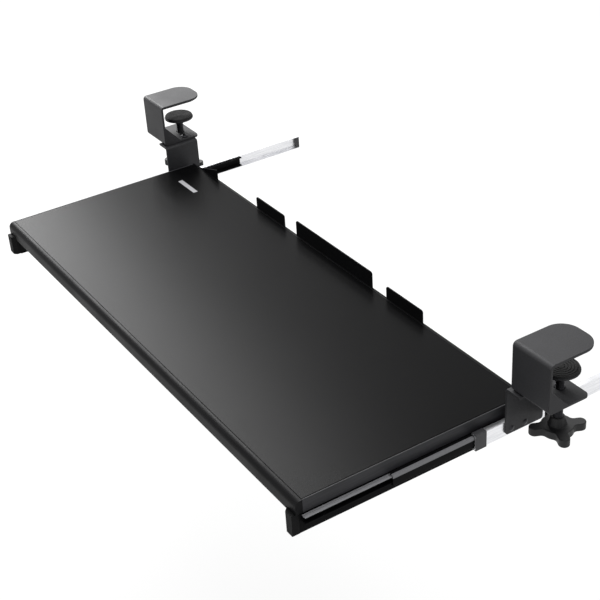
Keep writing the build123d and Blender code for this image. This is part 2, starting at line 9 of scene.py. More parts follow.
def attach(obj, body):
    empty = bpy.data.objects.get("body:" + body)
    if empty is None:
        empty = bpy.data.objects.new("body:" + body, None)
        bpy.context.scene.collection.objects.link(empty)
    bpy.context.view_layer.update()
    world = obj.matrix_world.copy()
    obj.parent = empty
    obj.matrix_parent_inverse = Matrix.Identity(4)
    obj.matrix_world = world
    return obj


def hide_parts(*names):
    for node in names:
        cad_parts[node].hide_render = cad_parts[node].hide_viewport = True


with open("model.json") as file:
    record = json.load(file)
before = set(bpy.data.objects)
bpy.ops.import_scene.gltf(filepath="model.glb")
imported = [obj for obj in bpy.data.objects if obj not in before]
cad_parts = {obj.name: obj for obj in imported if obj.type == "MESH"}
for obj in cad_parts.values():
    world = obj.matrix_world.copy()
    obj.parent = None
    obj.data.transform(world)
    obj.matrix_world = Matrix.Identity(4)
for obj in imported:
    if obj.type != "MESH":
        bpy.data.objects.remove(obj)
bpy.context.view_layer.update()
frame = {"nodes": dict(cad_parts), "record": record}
nodes = frame["nodes"]
scene = bpy.context.scene
mm = 0.001
sides = {"left": -1, "right": 1}
clampX, clampY = 392.75, 145  # the clamps' screws, in mm like every size below
railFaceX = 349  # outer faces of the side rails
slideZ = -21.5  # middle height of the slides
weldedApart = 0.0001  # points closer than this are made one
bodyOf = {node: body for body, held in frame["record"]["behaviour"]["bodies"].items() for node in held}
print("frame:", len(nodes), "nodes")


# Materials

def linearColour(hexValue):
    parts = [int(hexValue[i:i + 2], 16) / 255 for i in (1, 3, 5)]
    return tuple(p / 12.92 if p <= 0.04045 else ((p + 0.055) / 1.055) ** 2.4 for p in parts) + (1.0,)


def addNode(tree, kind, settings=None, links=None):
    # settings go to a socket of that name or number, else to the node's own property
    node = tree.nodes.new(kind)
    for key, value in (settings or {}).items():
        if isinstance(key, int) or key in node.inputs:
            node.inputs[key].default_value = value
        else:
            setattr(node, key, value)
    for key, source in (links or {}).items():
        tree.links.new(source, node.inputs[key])
    return node


def newMaterial(name):
    material = bpy.data.materials.new(name)
    material.use_nodes = True
    material.node_tree.nodes.clear()
    return material, material.node_tree


def above(tree, source, value):
    # One where the source is more than a value in mm
    more = addNode(tree, "ShaderNodeMath", {"operation": "GREATER_THAN", 1: value * mm}, {0: source})
    return more.outputs[0]


def both(tree, first, second):
    return addNode(tree, "ShaderNodeMath", {"operation": "MULTIPLY"}, {0: first, 1: second}).outputs[0]


def stripeMask(tree, spot, look):
    # A plain printed stripe on the upper face
    along, across = (addNode(tree, "ShaderNodeMath",
                             {"operation": "COMPARE", 1: look["middle"][i] * mm, 2: look["half"][i] * mm},
                             {0: spot.outputs[i]}).outputs[0] for i in (0, 1))
    return both(tree, both(tree, along, across), above(tree, spot.outputs["Z"], look["aboveZ"]))


def paintedTopSheenMask(tree, spot, look):
    # What faces up, from one height on: where the painted sheen on top faces goes
    facing = addNode(tree, "ShaderNodeNewGeometry")
    height = addNode(tree, "ShaderNodeSeparateXYZ", None, {"Vector": facing.outputs["Normal"]})
    up = addNode(tree, "ShaderNodeMapRange", {"From Min": 0.6, "From Max": 0.95},
                 {"Value": height.outputs["Z"]})
    return both(tree, up.outputs["Result"], above(tree, spot.outputs["Z"], look["aboveZ"]))


def paintedBendHighlightMask(tree, spot, look):
    # The outer upper bend of the pieces on both sides: where the painted highlight goes
    aside = addNode(tree, "ShaderNodeMath", {"operation": "ABSOLUTE"}, {0: spot.outputs["X"]})
    return both(tree, above(tree, aside.outputs[0], look["beyondX"]),
                above(tree, spot.outputs["Z"], look["aboveZ"]))


patchMasks = {"stripe": stripeMask, "upper": paintedTopSheenMask, "bend": paintedBendHighlightMask}


def grainedFinish(name, look):
    # One base for the opaque finishes: two close tones, a roughness that wanders and a fine relief
    material, tree = newMaterial(name)
    place = addNode(tree, "ShaderNodeTexCoord")
    stretch = addNode(tree, "ShaderNodeMapping", {"Scale": look.get("stretch", (1, 1, 1))},
                      {"Vector": place.outputs["Object"]})
    grain = addNode(tree, "ShaderNodeTexNoise",
                    {"Scale": 1 / (look["grainMm"] * mm), "Detail": look.get("grainDetail", 3.0),
                     "Roughness": 0.55},
                    {"Vector": stretch.outputs["Vector"]})
    cloud = addNode(tree, "ShaderNodeTexNoise",
                    {"Scale": 1 / (look["cloudMm"] * mm), "Detail": 2.0, "Roughness": 0.5},
                    {"Vector": place.outputs["Object"]})
    tone = addNode(tree, "ShaderNodeMapRange",
                   {"From Min": 0.35, "From Max": 0.65, "To Min": 0.0, "To Max": 1.0},
                   {"Value": grain.outputs["Fac"]})
    colour = addNode(tree, "ShaderNodeMix",
                     {"data_type": "RGBA", 6: linearColour(look["dark"]), 7: linearColour(look["light"])},
                     {0: tone.outputs["Result"]})
    rough = addNode(tree, "ShaderNodeMapRange",
                    {"From Min": 0.3, "From Max": 0.7,
                     "To Min": look["rough"] - look.get("roughSpread", 0.05),
                     "To Max": look["rough"] + look.get("roughSpread", 0.05)},
                    {"Value": cloud.outputs["Fac"]})
    relief = addNode(tree, "ShaderNodeBump",
                     {"Strength": look.get("reliefStrength", 0.5), "Distance": look["reliefMm"] * mm},
                     {"Height": grain.outputs["Fac"]})
    for patch, mask in patchMasks.items():  # another tone on a part of the piece
        if patch in look:
            spot = addNode(tree, "ShaderNodeSeparateXYZ", None, {"Vector": place.outputs["Object"]})
            colour = addNode(tree, "ShaderNodeMix",
                             {"data_type": "RGBA", 7: linearColour(look[patch]["tone"])},
                             {0: mask(tree, spot, look[patch]), 6: colour.outputs[2]})
    shader = addNode(tree, "ShaderNodeBsdfPrincipled",
                     {"Metallic": look.get("metallic", 0.0), "IOR": look.get("ior", 1.5),
                      "Specular IOR Level": look.get("specular", 0.5)},
                     {"Base Color": colour.outputs[2], "Roughness": rough.outputs["Result"],
                      "Normal": relief.outputs["Normal"]})
    addNode(tree, "ShaderNodeOutputMaterial", None, {"Surface": shader.outputs["BSDF"]})
    return material


# Melamine-faced chipboard: a pressed, slightly pebbled face with a soft sheen.
# The pebbles are 0.6 mm on the real board, drawn at 2.2 mm so that they show.
melamineFace = grainedFinish("black_melamine_pressed", {
    "dark": "#060606", "light": "#0a0a0b", "grainMm": 2.2, "cloudMm": 90, "rough": 0.265,
    "roughSpread": 0.006, "reliefMm": 0.03, "ior": 1.5, "specular": 0.045,
    "stripe": {"middle": (-291.5, 98), "half": (22, 3.2), "aboveZ": -1, "tone": "#9c9c9e"},
})
# Extruded PVC edge band: satin, with faint lines along the band
pvcBandX = grainedFinish("black_PVC_extruded_x", {
    "dark": "#0d0d0e", "light": "#131314", "grainMm": 1.2, "stretch": (0.04, 1, 1), "cloudMm": 60,
    "rough": 0.42, "reliefMm": 0.02, "ior": 1.53, "specular": 0.06,
})
# The side bands take a lighter, glossier copy of the same PVC: painted light on the side faces
pvcBandPaintedLightY = grainedFinish("black_PVC_extruded_y", {
    "dark": "#252527", "light": "#2e2e31", "grainMm": 1.2, "stretch": (1, 0.04, 1), "cloudMm": 60,
    "rough": 0.42, "reliefMm": 0.02, "ior": 1.53, "specular": 0.2,
})
# Powder-coated steel: matt black with a fine orange peel, 0.7 mm on the real sheet and drawn at 1.4 mm
powderCoat = grainedFinish("black_steel_powder_coated", {
    "dark": "#1c1c1d", "light": "#27272a", "grainMm": 1.4, "cloudMm": 40, "rough": 0.58,
    "reliefMm": 0.04, "ior": 1.5, "specular": 0.32,
})
# The same powder coat on the folded rails and the fence, painted darker and nearly without reflection, so
# flatter and darker: painted shade for faces that stand in shade
powderCoatPaintedShade = grainedFinish("black_steel_powder_coated_thin", {
    "dark": "#0a0a0b", "light": "#101011", "grainMm": 1.4, "cloudMm": 40, "rough": 0.55,
    "reliefMm": 0.04, "ior": 1.5, "specular": 0.03,
})
# Zinc-plated strip steel: bright, with rolling lines along the slide
zincSteel = grainedFinish("zinc_plated_steel_rolled", {
    "dark": "#e0e1e4", "light": "#f5f5f7", "grainMm": 0.8, "stretch": (1, 0.03, 1), "cloudMm": 30,
    "rough": 0.34, "roughSpread": 0.08, "reliefMm": 0.01, "metallic": 1.0,
})
# E-coated strip steel of the inner members: black, with a painted sheen on top: the faces of the upper flange
# that look up are painted lighter, as if lit from above
eCoatSteelPaintedTopSheen = grainedFinish("black_steel_e_coated", {
    "dark": "#0c0c0d", "light": "#131314", "grainMm": 0.8, "stretch": (1, 0.03, 1), "cloudMm": 30,
    "rough": 0.4, "reliefMm": 0.01, "ior": 1.5, "specular": 0.03,
    "upper": {"aboveZ": slideZ, "tone": "#949496"},
})
# The same coat on the middle members, with a painted highlight: a lighter band along the outer upper bend and
# the top of the web, where light would catch it
eCoatSteelPaintedBendHighlight = grainedFinish("black_steel_e_coated_worn_bend", {
    "dark": "#0c0c0d", "light": "#131314", "grainMm": 0.8, "stretch": (1, 0.03, 1), "cloudMm": 30,
    "rough": 0.4, "reliefMm": 0.01, "ior": 1.5, "specular": 0.03,
    "bend": {"beyondX": 354.3, "aboveZ": -18.6, "tone": "#7c7c7e"},
})
# Bearing steel, ground and polished
ballSteel = grainedFinish("bearing_steel_polished", {
    "dark": "#b4b5b8", "light": "#c4c5c8", "grainMm": 0.5, "cloudMm": 5, "rough": 0.14,
    "roughSpread": 0.03, "reliefMm": 0.002, "metallic": 1.0,
})
# Black-zinc fasteners and screws: dark metal that still glints
blackZinc = grainedFinish("steel_black_zinc_plated", {
    "dark": "#2b2b2d", "light": "#3a3a3d", "grainMm": 0.6, "cloudMm": 6, "rough": 0.38,
    "roughSpread": 0.06, "reliefMm": 0.01, "metallic": 0.85,
})
# Injection-moulded nylon knobs: black, with a fine spark-eroded texture
mouldedNylon = grainedFinish("black_nylon_moulded", {
    "dark": "#0f0f10", "light": "#161617", "grainMm": 0.9, "cloudMm": 20, "rough": 0.5,
    "reliefMm": 0.03, "ior": 1.53, "specular": 0.3,
})
# Injection-moulded polypropylene end blocks: deep black and matt
mouldedPolypropylene = grainedFinish("black_polypropylene_moulded", {
    "dark": "#070707", "light": "#0b0b0c", "grainMm": 0.9, "cloudMm": 15, "rough": 0.6,
    "reliefMm": 0.03, "ior": 1.49, "specular": 0.08,
})
# Acetal clip of the slide: dark grey and waxy
greyAcetal = grainedFinish("grey_acetal_moulded", {
    "dark": "#343436", "light": "#3e3e40", "grainMm": 0.9, "cloudMm": 12, "rough": 0.45,
    "reliefMm": 0.015, "ior": 1.48, "specular": 0.3,
})
# Moulded rubber pads: dull, with an open fine texture
padRubber = grainedFinish("black_rubber_moulded", {
    "dark": "#151515", "light": "#1e1e1e", "grainMm": 0.7, "cloudMm": 15, "rough": 0.82,
    "roughSpread": 0.06, "reliefMm": 0.05, "ior": 1.52, "specular": 0.35,
})

finishes = {
    "tray_board": melamineFace, "front_edge_band": pvcBandX, "rear_edge_band": pvcBandX,
    "edge_band": pvcBandPaintedLightY, "rear_fence": powderCoatPaintedShade, "side_rail": powderCoatPaintedShade, "rail_cap": mouldedPolypropylene,
    "inner_member": eCoatSteelPaintedTopSheen, "middle_member": eCoatSteelPaintedBendHighlight, "outer_member": zincSteel,
    "inner_cage": zincSteel, "outer_cage": zincSteel, "inner_balls": ballSteel, "outer_balls": ballSteel,
    "slide_bumper": greyAcetal, "slide_buffer": greyAcetal, "clamp_frame": powderCoat,
    "tongue_pad": padRubber, "clamp_nut": blackZinc, "hanger": powderCoat, "hanger_bolts": blackZinc,
    "hanger_nuts": blackZinc, "hanger_rivets": blackZinc, "pressure_plate": powderCoat,
    "pad_cushion": padRubber, "clamp_screw": blackZinc, "knob": mouldedNylon, "slide_screws": zincSteel,
    "fence_screws": blackZinc, "rail_screws": blackZinc,
}


def sharedName(node):
    return node.replace("left_", "").replace("right_", "")


def finishFor(node):
    return finishes.get(node) or finishes[sharedName(node)]


def dress(piece, material):
    piece.data.materials.clear()
    piece.data.materials.append(material)


for name, node in nodes.items():
    dress(node, finishFor(name))
print("finishes:", len(finishes))


# Shapes

def standFor(piece, node):
    # The piece takes the node's place, its body and its material slot
    if not piece.data.materials:
        dress(piece, finishFor(node))
    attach(piece, bodyOf[node])
    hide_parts(node)


def addPiece(name, mesh):
    piece = bpy.data.objects.new(name, mesh)
    scene.collection.objects.link(piece)
    return piece


def shadeByAngle(mesh, degrees=32):
    mesh.shade_smooth()
    mesh.set_sharp_from_angle(angle=math.radians(degrees))


def meshFrom(name, shell):
    # Closes a bmesh into a mesh whose faces point outwards
    bmesh.ops.remove_doubles(shell, verts=shell.verts, dist=weldedApart * mm)
    bmesh.ops.recalc_face_normals(shell, faces=shell.faces)
    mesh = bpy.data.meshes.new(name)
    shell.to_mesh(mesh)
    shell.free()
    return mesh


def arc(centre, radius, start, stop, steps):
    # Points of an arc from start to stop, in degrees, both ends included
    turn = (math.radians(start + (stop - start) * i / steps) for i in range(steps + 1))
    return [(centre[0] + radius * math.cos(a), centre[1] + radius * math.sin(a)) for a in turn]


def lathe(name, profile, steps):
    # Turns (radius, height) points in mm about Z. A radius of zero closes the end.
    shell = bmesh.new()
    rings = []
    for radius, height in profile:
        if radius == 0:
            rings.append([shell.verts.new((0, 0, height * mm))] * steps)
            continue
        ring = []
        for i in range(steps):
            turn = 2 * math.pi * i / steps
            x, y = radius * math.cos(turn), radius * math.sin(turn)
            ring.append(shell.verts.new((x * mm, y * mm, height * mm)))
        rings.append(ring)
    for low, high in zip(rings, rings[1:]):
        for i in range(steps):
            corners = [low[i], low[(i + 1) % steps], high[(i + 1) % steps], high[i]]
            shell.faces.new(list(dict.fromkeys(corners)))
    return meshFrom(name, shell)


def prism(name, outline, low, high):
    # Raises a flat outline in mm from one height to another
    shell = bmesh.new()
    floorRing = [shell.verts.new((x * mm, y * mm, low * mm)) for x, y in outline]
    roofRing = [shell.verts.new((x * mm, y * mm, high * mm)) for x, y in outline]
    shell.faces.new(list(reversed(floorRing)))
    shell.faces.new(roofRing)
    for i in range(len(outline)):
        j = (i + 1) % len(outline)
        shell.faces.new((floorRing[i], floorRing[j], roofRing[j], roofRing[i]))
    return meshFrom(name, shell)


def carve(name, base, tool, how):
    # One exact boolean between two meshes, kept as a plain mesh
    body, cutter = addPiece(name, base), addPiece(name + "_tool", tool)
    cut = body.modifiers.new("carve", "BOOLEAN")
    cut.operation, cut.solver, cut.object = how, "EXACT", cutter
    mesh = bpy.data.meshes.new_from_object(body.evaluated_get(bpy.context.evaluated_depsgraph_get()))
    bpy.data.objects.remove(body)
    bpy.data.objects.remove(cutter)
    return mesh


def moved(mesh, place):
    mesh.transform(Matrix.Translation(Vector(place) * mm))
    return mesh


softenSet = {"merge": 0.001, "flatDegrees": 1, "bevelDegrees": 40, "steps": 2}


def softened(node, width, look):
    # A merged copy of a CAD node with its edges rounded, as real sheet and mouldings are
    mesh = nodes[node].data.copy()
    mesh.attributes.remove(mesh.attributes["custom_normal"])
    shell = bmesh.new()
    shell.from_mesh(mesh)
    bmesh.ops.remove_doubles(shell, verts=shell.verts, dist=look["merge"] * mm)
    bmesh.ops.dissolve_limit(shell, angle_limit=math.radians(look["flatDegrees"]), verts=shell.verts,
                             edges=shell.edges)
    shell.to_mesh(mesh)
    shell.free()
    piece = addPiece(node + "_form", mesh)
    mesh.shade_smooth()
    bevel = piece.modifiers.new("round", "BEVEL")
    bevel.width, bevel.segments = width * mm, look["steps"]
    bevel.limit_method, bevel.angle_limit = "ANGLE", math.radians(look["bevelDegrees"])
    bevel.harden_normals = True
    standFor(piece, node)


softEdges = {
    "tray_board": 0.25, "front_edge_band": 0.3, "rear_edge_band": 0.3, "edge_band": 0.3, "rear_fence": 0.3,
    "side_rail": 0.3, "rail_cap": 0.4, "inner_member": 0.18, "middle_member": 0.18, "outer_member": 0.18,
    "slide_bumper": 0.25, "slide_buffer": 0.4, "clamp_frame": 0.5, "tongue_pad": 0.4, "hanger": 0.4,
}
for name in nodes:
    width = softEdges.get(name) or softEdges.get(sharedName(name))
    if width:
        softened(name, width, softenSet)
print("softened:", len(softEdges), "kinds")


# Geometry Nodes

def makeTree(name, inputs):
    tree = bpy.data.node_groups.new(name, "GeometryNodeTree")
    for label, kind in {"Geometry": "Geometry", **inputs, "Finish": "Material"}.items():
        tree.interface.new_socket(label, in_out="INPUT", socket_type="NodeSocket" + kind)
    tree.interface.new_socket("Geometry", in_out="OUTPUT", socket_type="NodeSocketGeometry")
    return tree, addNode(tree, "NodeGroupInput").outputs


def endTree(tree, geometry, given):
    # Every tree ends in real geometry with one finish
    real = addNode(tree, "GeometryNodeRealizeInstances", None, {"Geometry": geometry})
    finished = addNode(tree, "GeometryNodeSetMaterial", None,
                       {"Geometry": real.outputs[0], "Material": given["Finish"]})
    addNode(tree, "NodeGroupOutput", None, {"Geometry": finished.outputs[0]})


def grow(name, tree, places, values, edges=(), outward=None):
    # Runs a tree on points or lines in mm and keeps what it makes as a plain mesh
    seeds = bpy.data.meshes.new(name + "_places")
    seeds.from_pydata([tuple(c * mm for c in place) for place in places], list(edges), [])
    if outward:
        heads = seeds.attributes.new("outward", "FLOAT_VECTOR", "POINT")
        heads.data.foreach_set("vector", [c for way in outward for c in way])
    source = addPiece(name + "_source", seeds)
    modifier = source.modifiers.new("grow", "NODES")
    modifier.node_group = tree
    for item in tree.interface.items_tree:
        if item.in_out == "INPUT" and item.name in values:
            modifier[item.identifier] = values[item.name]
    mesh = bpy.data.meshes.new_from_object(source.evaluated_get(bpy.context.evaluated_depsgraph_get()))
    bpy.data.objects.remove(source)
    return addPiece(name, mesh)


# Fasteners stand on their places with their heads outward, each turned by chance as a fitter leaves it
fastenerTree, given = makeTree("fastener_rows", {"Shape": "Object", "Chance Seed": "Int"})
shape = addNode(fastenerTree, "GeometryNodeObjectInfo", None, {"Object": given["Shape"]})
headWay = addNode(fastenerTree, "GeometryNodeInputNamedAttribute",
                  {"data_type": "FLOAT_VECTOR", "Name": "outward"})
upright = addNode(fastenerTree, "FunctionNodeAlignRotationToVector", {"axis": "Z"},
                  {"Vector": headWay.outputs["Attribute"]})
chance = addNode(fastenerTree, "FunctionNodeRandomValue", {"data_type": "FLOAT", 3: 2 * math.pi},
                 {8: given["Chance Seed"]})
spin = addNode(fastenerTree, "FunctionNodeAxisAngleToRotation", None, {"Angle": chance.outputs[1]})
turned = addNode(fastenerTree, "FunctionNodeRotateRotation", {"rotation_space": "LOCAL"},
                 {"Rotation": upright.outputs[0], "Rotate By": spin.outputs[0]})
rows = addNode(fastenerTree, "GeometryNodeInstanceOnPoints", None,
               {"Points": given["Geometry"], "Instance": shape.outputs["Geometry"],
                "Rotation": turned.outputs[0]})
endTree(fastenerTree, rows.outputs[0], given)


def domeProfile(radius, height, steps=8):
    # A low dome from its rim to its top, as (radius, height) points
    ball = (radius ** 2 + height ** 2) / (2 * height)
    widest = math.degrees(math.asin(radius / ball))
    return [(ball * math.sin(math.radians(a)), ball * math.cos(math.radians(a)) - ball + height)
            for a in (widest * (1 - i / steps) for i in range(steps))] + [(0, height)]


panHead = {"rimShare": 0.3, "seatShare": 0.96, "seatRiseShare": 0.15, "pointShare": 0.6,
           "recessFloorShare": 0.45, "recessRoofShare": 2, "steps": 28}


def screwShape(name, look):
    # A pan head over a shank. The underside of the head is at height zero.
    head, height, shank = look["headRadius"], look["headHeight"], look["shankRadius"]
    rim = height * panHead["rimShare"]
    profile = [(0, -look["length"]), (shank * panHead["pointShare"], -look["length"]),
               (shank, shank - look["length"]), (shank, 0), (head * panHead["seatShare"], 0),
               (head, rim * panHead["seatRiseShare"])]
    profile += [(r, h + rim) for r, h in domeProfile(head, height - rim)]
    mesh = lathe(name, profile, panHead["steps"])
    arm, width = look["recess"] / 2, look["slotWidth"] / 2
    cross = [(arm, -width), (arm, width), (width, width), (width, arm), (-width, arm), (-width, width),
             (-arm, width), (-arm, -width), (-width, -width), (-width, -arm), (width, -arm), (width, -width)]
    recess = prism(name + "_recess", cross, height * panHead["recessFloorShare"],
                   height * panHead["recessRoofShare"])
    mesh = carve(name, mesh, recess, "DIFFERENCE")
    shadeByAngle(mesh)
    return addPiece(name, mesh)


turnedNut = {"cornerShare": 0.06, "cornerRiseShare": 0.6, "overrun": 1, "steps": 72, "boreSteps": 36}


def nutShape(name, look):
    # A hexagon whose corners are turned off, standing on height zero
    corner, height, bore = look["flats"] / math.sqrt(3), look["height"], look["bore"]
    mesh = prism(name, arc((0, 0), corner, 0, 300, 5), 0, height)
    off = look["flats"] * turnedNut["cornerShare"]
    rise = off * turnedNut["cornerRiseShare"]
    envelope = [(0, 0), (corner - off, 0), (corner, rise), (corner, height - rise), (corner - off, height),
                (0, height)]
    mesh = carve(name, mesh, lathe(name + "_envelope", envelope, turnedNut["steps"]), "INTERSECT")
    low, high = -turnedNut["overrun"], height + turnedNut["overrun"]
    hole = [(0, low), (bore, low), (bore, high), (0, high)]
    mesh = carve(name, mesh, lathe(name + "_bore", hole, turnedNut["boreSteps"]), "DIFFERENCE")
    shadeByAngle(mesh)
    return addPiece(name, mesh)


def rivetShape(name, look):
    profile = [(0, -look["length"]), (look["shankRadius"], -look["length"]), (look["shankRadius"], 0),
               (look["headRadius"], 0)] + domeProfile(look["headRadius"], look["headHeight"])
    mesh = lathe(name, profile, look["steps"])
    shadeByAngle(mesh)
    return addPiece(name, mesh)


fastenerSeeds = {"fence_screws": 3, "rail_screws": 5, "slide_screws": 7, "hanger_bolts": 11,
                 "hanger_nuts": 13, "hanger_rivets": 17, "left_clamp_nut": 18, "right_clamp_nut": 20}


def setFasteners(node, shape, places, outward):
    piece = grow(node + "_row", fastenerTree, places,
                 {"Shape": shape, "Chance Seed": fastenerSeeds[node], "Finish": finishFor(node)},
                 outward=outward)
    shadeByAngle(piece.data)
    standFor(piece, node)


boardScrew = {"headRadius": 3.8, "headHeight": 2.2, "shankRadius": 2, "length": 10, "recess": 4.2,
              "slotWidth": 0.9}
slideScrew = {"headRadius": 2.3, "headHeight": 1.5, "shankRadius": 1.5, "length": 4.5, "recess": 2.6,
              "slotWidth": 0.7}
hangerBolt = {"headRadius": 4.75, "headHeight": 2.8, "shankRadius": 2.5, "length": 10.5, "recess": 4.8,
              "slotWidth": 1.2}
hangerNut = {"flats": 8, "height": 4, "bore": 2.55}
clampNut = {"flats": 17, "height": 8, "bore": 5.05}
rivet = {"headRadius": 3.5, "headHeight": 1.2, "shankRadius": 2, "length": 4, "steps": 28}
fastenerRows = {
    "fenceX": (-300, -180, -60, 60, 180, 300), "fenceY": 141, "fenceZ": -7.5,
    "railX": 341, "railY": (-117, -39, 39, 117), "railZ": -16.5,
    "slideX": 349.9, "slideY": (-108, -8, 92), "boltX": 374, "boltY": (117, 141), "boltZ": 33, "nutZ": 23.5,
    "rivetX": 362, "rivetY": (112, 130), "clampNutZ": 22,
}


def placeFasteners(look):
    boardShape, slideShape = screwShape("board_screw", boardScrew), screwShape("slide_screw", slideScrew)
    boltShape, smallNut = screwShape("hanger_bolt", hangerBolt), nutShape("hanger_nut", hangerNut)
    largeNut, rivetHead = nutShape("clamp_nut", clampNut), rivetShape("rivet", rivet)

    def pairs(x, rowY, z):
        return [(side * x, y, z) for side in sides.values() for y in rowY]

    def aside(places):
        return [(math.copysign(1, x), 0, 0) for x, y, z in places]

    setFasteners("fence_screws", boardShape, [(x, look["fenceY"], look["fenceZ"]) for x in look["fenceX"]],
                 [(0, 1, 0) for x in look["fenceX"]])
    places = pairs(look["railX"], look["railY"], look["railZ"])
    setFasteners("rail_screws", boardShape, places, [(0, 0, -1) for place in places])
    places = pairs(look["slideX"], look["slideY"], slideZ)
    setFasteners("slide_screws", slideShape, places, aside(places))
    places = pairs(look["boltX"], look["boltY"], look["boltZ"])
    setFasteners("hanger_bolts", boltShape, places, [(0, 0, 1) for place in places])
    places = pairs(look["boltX"], look["boltY"], look["nutZ"])
    setFasteners("hanger_nuts", smallNut, places, [(0, 0, 1) for place in places])
    places = pairs(look["rivetX"], look["rivetY"], slideZ)
    setFasteners("hanger_rivets", rivetHead, places, aside(places))
    for name, side in sides.items():
        setFasteners(name + "_clamp_nut", largeNut, [(side * clampX, clampY, look["clampNutZ"])], [(0, 0, 1)])
    for shape in (boardShape, slideShape, boltShape, smallNut, largeNut, rivetHead):
        bpy.data.objects.remove(shape)


placeFasteners(fastenerRows)
print("fasteners:", len(fastenerSeeds), "nodes")


# Balls in four cages, each with two lines of balls
ballTree, given = makeTree("ball_rows", {"Ball Radius": "Float", "Balls": "Int", "Step": "Vector"})
line = addNode(ballTree, "GeometryNodeMeshLine", None, {"Count": given["Balls"], "Offset": given["Step"]})
lines = addNode(ballTree, "GeometryNodeInstanceOnPoints", None,
                {"Points": given["Geometry"], "Instance": line.outputs[0]})
spots = addNode(ballTree, "GeometryNodeRealizeInstances", None, {"Geometry": lines.outputs[0]})
ball = addNode(ballTree, "GeometryNodeMeshIcoSphere", {"Subdivisions": 4}, {"Radius": given["Ball Radius"]})
polished = addNode(ballTree, "GeometryNodeSetShadeSmooth", None, {"Geometry": ball.outputs[0]})
balls = addNode(ballTree, "GeometryNodeInstanceOnPoints", None,
                {"Points": spots.outputs[0], "Instance": polished.outputs[0]})
endTree(ballTree, balls.outputs[0], given)

ballRows = {
    "radius": 1.2, "count": 8, "step": 17, "inner": {"reach": 3.2, "rise": 4.65, "centreY": 42},
    "outer": {"reach": 6.6, "rise": 7.25, "centreY": 142},
}


def placeBalls(look):
    for name, side in sides.items():
        for row in ("inner", "outer"):
            x = side * (railFaceX + look[row]["reach"])
            y = look[row]["centreY"] - look["step"] * (look["count"] - 1) / 2
            starts = [(x, y, slideZ + level * look[row]["rise"]) for level in (-1, 1)]
            node = f"{name}_{row}_balls"
            standFor(grow(node + "_rows", ballTree, starts,
                          {"Ball Radius": look["radius"] * mm, "Balls": look["count"],
                           "Step": (0, look["step"] * mm, 0), "Finish": finishFor(node)}), node)


placeBalls(ballRows)
print("balls:", ballRows["count"], "in each line")


# Clamp screws: a real helix, swept from its pitch and depths
threadTree, given = makeTree("screw_thread", {"Pitch": "Float", "Turns": "Float", "Root Radius": "Float",
                                              "Ridge Depth": "Float", "Steps": "Int"})
rise = addNode(threadTree, "ShaderNodeMath", {"operation": "MULTIPLY"},
               {0: given["Pitch"], 1: given["Turns"]})
helix = addNode(threadTree, "GeometryNodeCurveSpiral", None,
                {"Resolution": given["Steps"], "Rotations": given["Turns"], "Height": rise.outputs[0],
                 "Start Radius": given["Root Radius"], "End Radius": given["Root Radius"]})
ridge = addNode(threadTree, "GeometryNodeCurvePrimitiveCircle", {"Resolution": 6},
                {"Radius": given["Ridge Depth"]})
swept = addNode(threadTree, "GeometryNodeCurveToMesh", {"Fill Caps": True},
                {"Curve": helix.outputs[0], "Profile Curve": ridge.outputs[0]})
smoothRidge = addNode(threadTree, "GeometryNodeSetShadeSmooth", None, {"Geometry": swept.outputs[0]})
placed = addNode(threadTree, "GeometryNodeInstanceOnPoints", None,
                 {"Points": given["Geometry"], "Instance": smoothRidge.outputs[0]})
endTree(threadTree, placed.outputs[0], given)

clampScrew = {"bottom": -14, "top": 47.3, "pitch": 1.5, "rootRadius": 4.4, "ridgeDepth": 0.58, "chamfer": 0.5,
              "pilotRadius": 3, "pilotTop": 52.5, "pilotChamfer": 0.4, "threadSteps": 28, "steps": 40}


def makeClampScrew(node, side, look):
    root, pilot, top, pilotTop = look["rootRadius"], look["pilotRadius"], look["top"], look["pilotTop"]
    chamfer, pilotChamfer = look["chamfer"], look["pilotChamfer"]
    core = lathe(node + "_core", [
        (0, look["bottom"]), (root, look["bottom"]), (root, top - chamfer), (root - chamfer, top),
        (pilot, top), (pilot, pilotTop - pilotChamfer), (pilot - pilotChamfer, pilotTop), (0, pilotTop)],
        look["steps"])
    shadeByAngle(core)
    turns = (top - look["bottom"] - 2 * look["pitch"]) / look["pitch"]
    thread = grow(node + "_thread", threadTree, [(0, 0, look["bottom"] + look["pitch"])],
                  {"Pitch": look["pitch"] * mm, "Turns": turns, "Root Radius": root * mm,
                   "Ridge Depth": look["ridgeDepth"] * mm, "Steps": look["threadSteps"],
                   "Finish": finishFor(node)})
    place = (side * clampX, clampY, 0)
    moved(thread.data, place)
    standFor(thread, node)
    standFor(addPiece(node + "_spindle", moved(core, place)), node)


for name, side in sides.items():
    makeClampScrew(name + "_clamp_screw", side, clampScrew)
print("clamp screws: thread pitch", clampScrew["pitch"], "mm")


# Knobs: a four-lobed star under a tapered, fluted hub
fluteTree, given = makeTree("flutes_in_a_ring", {"Flutes": "Int", "Ring Radius": "Float", "Shape": "Object"})
ring = addNode(fluteTree, "GeometryNodeMeshCircle", None,
               {"Vertices": given["Flutes"], "Radius": given["Ring Radius"]})
fluteShape = addNode(fluteTree, "GeometryNodeObjectInfo", None, {"Object": given["Shape"]})
spot = addNode(fluteTree, "GeometryNodeInputPosition")
faceOut = addNode(fluteTree, "FunctionNodeAlignRotationToVector", {"axis": "X"}, {"Vector": spot.outputs[0]})
flutes = addNode(fluteTree, "GeometryNodeInstanceOnPoints", None,
                 {"Points": ring.outputs[0], "Instance": fluteShape.outputs["Geometry"],
                  "Rotation": faceOut.outputs[0]})
endTree(fluteTree, flutes.outputs[0], given)

